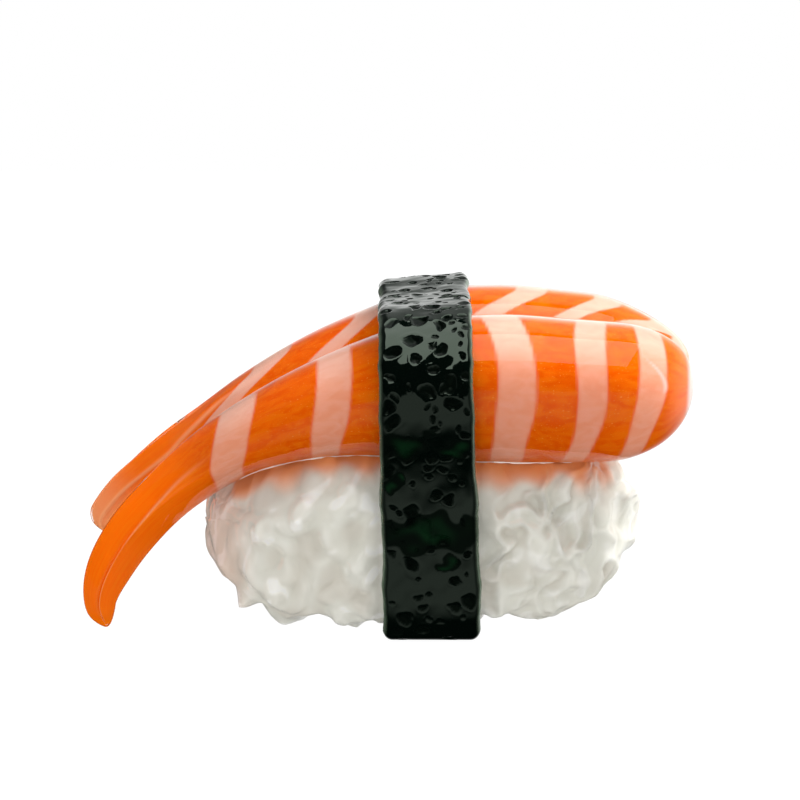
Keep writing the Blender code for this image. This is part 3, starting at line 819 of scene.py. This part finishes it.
BAND_FOOT_FLARE = 0.9  # how much wider it is at its foot
BAND_WALL = 3.8
BAND_RISE = 2.2  # how much higher the head-end edge stands than the other, over the crest
BAND_MIDDLE_Z = 40.0  # height of the line along X that the band is measured round
BAND_EDGE = 2.1  # how far in from an edge the face rounds off
INNER_INSET = 0.4  # share of that by which the inner face stops short of an edge
INNER_LOOPS = 7
INNER_SINK = 0.2  # how far the inner face sinks into what it wraps
FACE_INSIDE = 0.35  # how far the face lies inside the solid's
BAND_FOOT = (36.2, 25.0, 7.0)  # half width, half height and power of its outline at the foot
BAND_STEPS = 96  # round the band, for the outline of what it wraps
RAYS_PER_STEP = 4
OUTLINE_STEPS = 160
SECTION_RINGS = (160, 72)
SECTION_END = -30.0  # x beyond which a lobe has nothing to do with the band
BAND_SAG = 0.75  # how closely it follows what it wraps, from 0 to 1
BAND_SIDES = 900  # round the band, for its mesh
BAND_LOOPS = 84  # across its face
PIT_SEED = 21
PITS = 310
PIT_TRIES = 6000
PIT_GAP = 1.1  # least way between the middles of two pits, over the sum of their radii
RAGGED = 0.35  # how far the outlines of the pits waver
# Where the glass is torn thin: how far across the band, the height, and the half width and half height.
THIN_PATCHES = [
    (10.5, 30.4, 12.8, 5.4),
    (5.5, 53.0, 6.5, 4.0),
    (17.0, 51.5, 4.5, 2.8),
    (15.5, 23.2, 2.6, 2.0),
    (3.5, 43.5, 2.2, 1.8),
]


def ray_to_section(section, angles):
    """Furthest distance from the band's middle line to a closed outline in Y and Z, along each angle."""
    start, end = section, np.roll(section, -1, 0)
    ray = np.stack([np.cos(angles), np.sin(angles)], 1)[:, None]
    edge = (end - start)[None]
    cross = ray[..., 0] * edge[..., 1] - ray[..., 1] * edge[..., 0]
    cross = np.where(np.abs(cross) < 1e-9, 1e-9, cross)
    reach = (start[None, :, 0] * edge[..., 1] - start[None, :, 1] * edge[..., 0]) / cross
    part = (start[None, :, 0] * ray[..., 1] - start[None, :, 1] * ray[..., 0]) / cross
    return np.where((part >= 0) & (part <= 1) & (reach > 0), reach, 0).max(1)


def round_section(half_width, half_height, power, middle_z):
    """Outline in Y and Z of a superellipse on the middle plane, seen from where the band's rays start."""
    y, z = superellipse(np.linspace(0, 2 * np.pi, OUTLINE_STEPS, endpoint=False), power)
    return np.stack([y * half_width, z * half_height + middle_z - BAND_MIDDLE_Z], 1)


def contents_reach(x):
    """How far prawn and rice reach from the band's middle line at one place along X, at each band step."""
    angles = np.linspace(0, 2 * np.pi, BAND_STEPS * RAYS_PER_STEP, endpoint=False)
    reach = np.zeros(len(angles))
    for fin, side in ((NEAR_FIN, -1), (FAR_FIN, 1)):
        rings = lobe(side, fin, *SECTION_RINGS)[0]
        rings = rings[rings[:, :, 0].max(1) > SECTION_END]
        section = np.array([
            [np.interp(-x, -line[:, 0], line[:, axis]) for axis in (1, 2)] for line in rings.swapaxes(0, 1)
        ])
        section[:, 1] -= BAND_MIDDLE_Z
        reach = np.maximum(reach, ray_to_section(section, angles))
    shrink = (1 - abs((x - RICE_MIDDLE[0]) / RICE_HALF[0]) ** RICE_ROUNDNESS) ** (1 / RICE_ROUNDNESS)
    middle_z = RICE_MIDDLE[2] + RICE_TILT * (x - RICE_MIDDLE[0])
    rice = round_section(RICE_HALF[1] * shrink, RICE_HALF[2] * shrink, RICE_SECTION_ROUNDNESS, middle_z)
    reach = np.maximum(reach, ray_to_section(rice, angles))
    around = range(-RAYS_PER_STEP + 1, RAYS_PER_STEP)
    return np.max([np.roll(reach, turn) for turn in around], axis=0)[::RAYS_PER_STEP]


def smoothed(values, width):
    """A ring of values averaged with a bell of this width in steps."""
    steps = np.arange(-3 * width, 3 * width + 1)
    bell = np.exp(-0.5 * (steps / width) ** 2)
    bell /= bell.sum()
    return sum(w * np.roll(values, s) for w, s in zip(bell, steps))


def finer(ring):
    """A ring of BAND_STEPS values read at BAND_SIDES places, on a smooth curve through them."""
    padded = np.concatenate([ring[-3:], ring, ring[:4]])[:, None]
    return through(padded, 3 + np.arange(BAND_SIDES) * BAND_STEPS / BAND_SIDES)[0][:, 0]


rng = np.random.default_rng(PIT_SEED)
steps = np.linspace(0, 2 * np.pi, BAND_STEPS, endpoint=False)
angles = np.linspace(0, 2 * np.pi, BAND_SIDES, endpoint=False)
middle = contents_reach(sum(BAND_EDGES) / 2)
bridged = smoothed(middle, 4)
outer = BAND_SAG * np.maximum(middle, bridged) + (1 - BAND_SAG) * bridged + BAND_WALL
foot_width, foot_height, foot_power = BAND_FOOT
foot = round_section(foot_width, foot_height, foot_power, foot_height)
outer = finer(smoothed(np.maximum(outer, ray_to_section(foot, steps)), 1))
upward = np.sin(angles)
low = np.clip(0.5 - 0.8 * upward, 0, 1)
width = BAND_EDGES[1] - BAND_EDGES[0]

# Distance round the band, from its middle height at the back, over the crest and down the front.
ring_y, ring_z = outer * np.cos(angles), outer * upward
strides = np.hypot(np.diff(ring_y, append=ring_y[0]), np.diff(ring_z, append=ring_z[0]))
way = np.concatenate([[0], np.cumsum(strides)[:-1]])
whole_way = strides.sum()

# The inner face: where each loop lies across the band, from 0 to 1, and its reach. It clears what the
# band wraps both where it lies over the crest and where it lies at the foot.
inset = INNER_INSET * BAND_EDGE / width
inner_spots = np.linspace(inset, 1 - inset, INNER_LOOPS)
inner_reach = []
for t in inner_spots:
    x = BAND_EDGES[0] + t * width
    moved = x + BAND_FOOT_SHIFT + BAND_FOOT_FLARE * (t - 0.5)
    inner_reach.append(finer(np.maximum(contents_reach(x), contents_reach(moved))) - INNER_SINK)

# The outer face, back from the other edge: each loop's place across, and how far the rounding of an edge
# draws it in, from 0 to 1. An edge is a quarter of a circle.
edge_share = BAND_EDGE / width
edge_turns = np.radians(np.linspace(80, 5, 8))
edge = [(edge_share * (1 - np.cos(turn)), 1 - np.sin(turn)) for turn in edge_turns]
over = [(1 - t, drawn_in) for t, drawn_in in edge[::-1]]
over += [(t, 0.0) for t in np.linspace(1 - edge_share * 1.02, edge_share * 1.02, BAND_LOOPS)]
over += edge
across = np.array([t for t, _ in over])[:, None] * width
drawn_in = np.array([d for _, d in over])[:, None]
from_edge = np.minimum(across, width - across)

# The face: slow dents of the tool, and pits. A pit is an oval cone with a rounded bottom and a ragged
# outline, a low lip round it, and a second, smaller pit beside it or over its edge.
face = np.stack(np.broadcast_arrays(across, ring_y[None], ring_z[None]), -1)
relief = 0.12 * waves(face, 9.0, 9, 41) + 0.04 * waves(face, 3.8, 12, 42)
ragged_across = across + RAGGED * waves(face, 3.4, 9, 46)
ragged_way = way[None] + RAGGED * waves(face, 3.4, 9, 47)
dents = np.zeros_like(relief)
pits = []
for _ in range(PIT_TRIES):
    u, v = rng.uniform(1.5, width - 1.5), rng.uniform(0, whole_way)
    radius = 0.6 + 1.3 * rng.uniform() ** 1.6
    apart = all((u - a) ** 2 + (v - b) ** 2 > (PIT_GAP * (radius + c)) ** 2 for a, b, c in pits)
    if apart and len(pits) < PITS:
        pits.append((u, v, radius))
for u, v, radius in pits:
    turn, oval, deep = rng.uniform(0, np.pi), rng.uniform(1.1, 1.7), rng.uniform(0.55, 0.85)
    second = rng.uniform(-1, 1, 2) * radius
    for (du, dv), size in (((0, 0), radius), (second, 0.55 * radius)):
        a, b = ragged_across - u - du, (ragged_way - v - dv + whole_way / 2) % whole_way - whole_way / 2
        p, q = a * np.cos(turn) + b * np.sin(turn), b * np.cos(turn) - a * np.sin(turn)
        r = np.hypot(p / oval, q) / size
        dents += deep * size * np.clip(1.05 - np.hypot(r, 0.3), 0, 1)
        relief += 0.05 * np.exp(-((r - 1.15) / 0.2) ** 2)
relief = (relief - dents) * ease(from_edge, 0.0, BAND_EDGE)
# The underside, which stands on the table, is plain.
relief *= ease(BAND_MIDDLE_Z + ring_z, 0.5, 4.0)[None]

rise = BAND_RISE * (across / width - 0.5) * np.clip(upward, 0, 1)[None]
reach = np.concatenate([inner_reach, outer[None] + rise - BAND_EDGE * drawn_in + relief - FACE_INSIDE])
spot = np.concatenate([inner_spots[:, None], across / width])
# The edges waver, and the band is wider and further towards the head end at its foot.
wander = 0.24 * waves(np.stack([ring_y, ring_z], -1), 13.0, 8, 44)
wander += 0.06 * waves(np.stack([ring_y, ring_z], -1), 4.5, 9, 45)
x = BAND_EDGES[0] + spot * width + (2 * spot - 1) * wander
x = x + low * (BAND_FOOT_SHIFT + BAND_FOOT_FLARE * (spot - 0.5))
rings = np.stack([x, reach * np.cos(angles), BAND_MIDDLE_Z + reach * upward], -1)
rings[..., 2] = np.maximum(rings[..., 2], 0)
count, sides = rings.shape[:2]
i, j = np.meshgrid(np.arange(count), np.arange(sides), indexing="ij")
k, n = (j + 1) % sides, (i + 1) % count
faces = np.stack([i * sides + j, n * sides + j, n * sides + k, i * sides + k], -1).reshape(-1, 4).tolist()
ragged_glow = 1.6 * waves(rings, 7.0, 9, 48)
thin_edge = 1 - ease(np.minimum(spot, 1 - spot) * width, 0.1, 1.0) + 0 * reach
round_band = np.stack([spot * width + 0 * reach, way[None] + 0 * reach, 0 * reach], -1)
# Torn patches are dull, as the pits are inside, and thin enough in the middle to glow green.
thin_patch = 0 * reach
dull = np.concatenate([np.zeros((INNER_LOOPS, BAND_SIDES)), ease(dents, 0.1, 0.3)])
for u, height, wide, tall in THIN_PATCHES:
    away = np.hypot((spot * width + ragged_glow - u) / wide, (rings[..., 2] + ragged_glow - height) / tall)
    thin_patch = np.maximum(thin_patch, 0.85 - 0.85 * ease(away, 0.0, 0.75))
    dull = np.maximum(dull, 1 - ease(away, 0.9, 1.0))

# Dark green glass of a high index, so that it gleams: fire-polished, and nearly black where it is thick.
green, tree, shader = new_material("dark_green_glass", IOR=1.85)
glow_share, thin_share, dull_share = [
    add_node(tree, "Attribute", attribute_name=name).outputs["Fac"]
    for name in ("glow", "thin_edge", "dull")
]
colour = linear("#020604")
for share, over in ((glow_share, "#04200d"), (thin_share, "#455343")):
    colour = add_node(tree, "Mix", {0: share, 6: colour, 7: linear(over)}, data_type="RGBA").outputs[2]
tree.links.new(colour, shader.inputs["Base Color"])
# Shares of red, green and blue that it mirrors: little where it is dull.
tint = add_node(
    tree, "Mix", {0: dull_share, 6: (0.8, 1.0, 0.8, 1.0), 7: (0.06, 0.09, 0.06, 1.0)}, data_type="RGBA"
).outputs[2]
tree.links.new(tint, shader.inputs["Specular Tint"])
rough = add_node(tree, "MapRange", {"Value": dull_share, "To Min": 0.05, "To Max": 0.3}).outputs[0]
tree.links.new(rough, shader.inputs["Roughness"])
# Fine lines of the pull, 0.5 mm apart.
pulled = add_node(tree, "Attribute", attribute_name="round_band").outputs["Vector"]
line_at = add_node(tree, "Mapping", {"Vector": pulled, "Scale": (2.0, 0.06, 1.0)}).outputs[0]
line = add_node(tree, "TexNoise", {"Vector": line_at, "Scale": 1.0, "Detail": 2.0}).outputs[0]
bump = add_node(tree, "Bump", {"Height": line, "Strength": 0.12, "Distance": 0.0002}).outputs[0]
tree.links.new(bump, shader.inputs["Normal"])

band = add_piece(
    "nori_band_glass", rings.reshape(-1, 3) + PLACE, faces, green,
    thin_edge=thin_edge.reshape(-1), glow=thin_patch.reshape(-1), dull=dull.reshape(-1),
    round_band=round_band.reshape(-1, 3),
)
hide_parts("nori_band")
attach(band, "root")

# ---------------------------------------------------------------------------------------------
# Stage: a pale floor in a white studio, one large soft box overhead, and a camera with a long lens a
# little above the piece. The floor glows, as a light table does.
# ---------------------------------------------------------------------------------------------

floor_mesh = bpy.data.meshes.new("floor")
floor_mesh.from_pydata([(-0.7, -0.7, 0), (0.7, -0.7, 0), (0.7, 0.7, 0), (-0.7, 0.7, 0)], [], [(0, 1, 2, 3)])
paper, _, _ = new_material(
    "white_light_table", Roughness=0.8, Base_Color=linear("#383838"), Emission_Color=linear("#ffffff"),
    Emission_Strength=1.0,
)
floor_mesh.materials.append(paper)
floor = bpy.data.objects.new("floor", floor_mesh)
bpy.context.scene.collection.objects.link(floor)
floor.visible_glossy = False

scene = bpy.context.scene
scene.view_settings.view_transform = "Standard"
world = bpy.data.worlds.new("studio")
scene.world = world
world.use_nodes = True
tree = world.node_tree
direction = add_node(tree, "TexCoord").outputs["Generated"]
toward = add_node(tree, "SeparateXYZ", {0: direction})
# In reflections the sweep behind is white at its foot, greyer towards the soft box and dim on the left.
# The room in front is dim up to about 12 degrees. Above both, and straight below, it is dark.
sideways = add_node(tree, "Math", {0: toward.outputs["X"]}, operation="ABSOLUTE").outputs[0]
# What lights the piece is even, and strongest from the front, 20 degrees up.
to_front = add_node(
    tree, "VectorMath", {0: direction, 1: (-0.06, -0.93, 0.33)}, operation="DOT_PRODUCT"
).outputs["Value"]
# Between which values of a direction each level changes, and what it is at either.
level = {}
for name, value, start, end, at_start, at_end in (
    ("room", sideways, 0.35, 0.75, 0.22, 0.07),
    ("behind", toward.outputs["Y"], -0.2, 0.35, 0.0, 1.0),
    ("sweep", toward.outputs["Z"], 0.1, 0.5, 0.95, 0.32),
    ("left", toward.outputs["X"], -0.28, -0.04, 0.12, 1.0),
    ("dark from", toward.outputs["Y"], -0.25, 0.05, 0.20, 0.78),
    ("below", toward.outputs["Z"], -0.75, -0.3, 0.0, 1.0),
    ("lighting", to_front, 0.2, 0.95, 0.82, 1.36),
):
    sockets = {"Value": value, "From Min": start, "From Max": end, "To Min": at_start, "To Max": at_end}
    level[name] = add_node(tree, "MapRange", sockets, interpolation_type="SMOOTHSTEP").outputs[0]
sweep = add_node(tree, "Math", {0: level["sweep"], 1: level["left"]}, operation="MULTIPLY").outputs[0]
room = add_node(tree, "Mix", {0: level["behind"], 2: level["room"], 3: sweep}).outputs[0]
over_dark = {0: toward.outputs["Z"], 1: level["dark from"]}
over_dark = add_node(tree, "Math", over_dark, operation="SUBTRACT").outputs[0]
sockets = {"Value": over_dark, "From Min": 0.0, "From Max": 0.04, "To Min": 1.0, "To Max": 0.0}
above = add_node(tree, "MapRange", sockets, interpolation_type="SMOOTHSTEP").outputs[0]
for share in (above, level["below"]):
    room = add_node(tree, "Math", {0: room, 1: share}, operation="MULTIPLY").outputs[0]
# Reflections alone see the dark front of the studio: refracted rays are glossy as well as transmitted.
ray = add_node(tree, "LightPath")
mirrored = add_node(
    tree, "Math", {0: ray.outputs["Is Glossy Ray"], 1: ray.outputs["Is Transmission Ray"]},
    operation="SUBTRACT", use_clamp=True,
).outputs[0]
seen = add_node(tree, "Mix", {0: mirrored, 2: level["lighting"], 3: room}).outputs[0]
seen = add_node(tree, "Mix", {0: ray.outputs["Is Camera Ray"], 2: seen, 3: 1.0}).outputs[0]
tree.links.new(seen, tree.nodes["Background"].inputs["Strength"])
tree.nodes["Background"].inputs["Color"].default_value = linear("#ffffff")

BOX_RADIANCE = 1.35
FILL_RADIANCE = 24.0
box_light = bpy.data.lights.new("soft_box", "AREA")
box_light.shape = "RECTANGLE"
box_light.size = 0.62
box_light.size_y = 0.60
box_light.energy = BOX_RADIANCE * np.pi * box_light.size * box_light.size_y
soft_box = bpy.data.objects.new("soft_box", box_light)
soft_box.location = (0.06, 0.0, 0.66)
scene.collection.objects.link(soft_box)

# The rest of the light from above comes from a box that shows in no reflection.
fill_light = box_light.copy()
fill_light.size = 0.36
fill_light.size_y = 0.30
fill_light.energy = FILL_RADIANCE * np.pi * fill_light.size * fill_light.size_y
top_fill = bpy.data.objects.new("top_fill", fill_light)
top_fill.location = (0.37, 0.16, 0.50)
top_fill.rotation_euler = (-0.3, 0.6, 0.0)
top_fill.visible_glossy = False
scene.collection.objects.link(top_fill)

TARGET = (2.9 * MM + PLACE[0] * MM, 0.0, 0.0543)  # what the camera looks at
CAMERA_HEIGHT = np.radians(14.5)
CAMERA_DISTANCE = 0.6
camera_data = bpy.data.cameras.new("camera")
camera_data.lens = 108.0
camera_data.sensor_width = 36.0
camera = bpy.data.objects.new("camera", camera_data)
camera.location = (
    TARGET[0],
    TARGET[1] - CAMERA_DISTANCE * np.cos(CAMERA_HEIGHT),
    TARGET[2] + CAMERA_DISTANCE * np.sin(CAMERA_HEIGHT),
)
camera.rotation_euler = (np.pi / 2 - CAMERA_HEIGHT, 0.0, 0.0)
scene.collection.objects.link(camera)
scene.camera = camera
